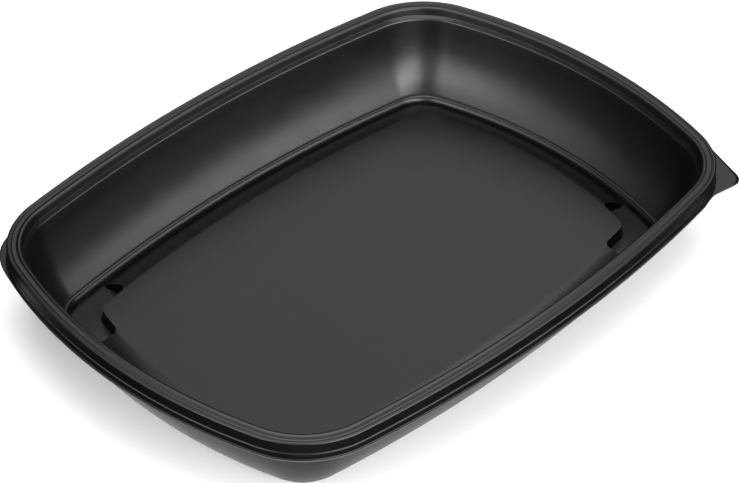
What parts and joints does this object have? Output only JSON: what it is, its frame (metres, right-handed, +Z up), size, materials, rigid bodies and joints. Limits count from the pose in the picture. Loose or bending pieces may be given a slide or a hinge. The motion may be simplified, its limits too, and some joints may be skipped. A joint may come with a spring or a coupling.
{
  "type": "takeaway meal tray",
  "caption": "Shallow black plastic meal tray with bowed sides, a snap rim, a stepped inner shoulder, a raised floor panel and a corner peel tab.",
  "frame": {"origin": "middle of the tray in plan, on the surface that its foot ring rests on", "axes": "+X along the long side towards the end with the peel tab, +Y across the short side, the tab being on the -Y side, +Z up out of the open top"},
  "size_m": [0.2574, 0.1852, 0.0378],
  "materials": {
    "tray": "satin black polypropylene sheet, slightly glossier on the rim"
  },
  "bodies": {
    "root": {"tray": "tray"}
  },
  "joints": []
}
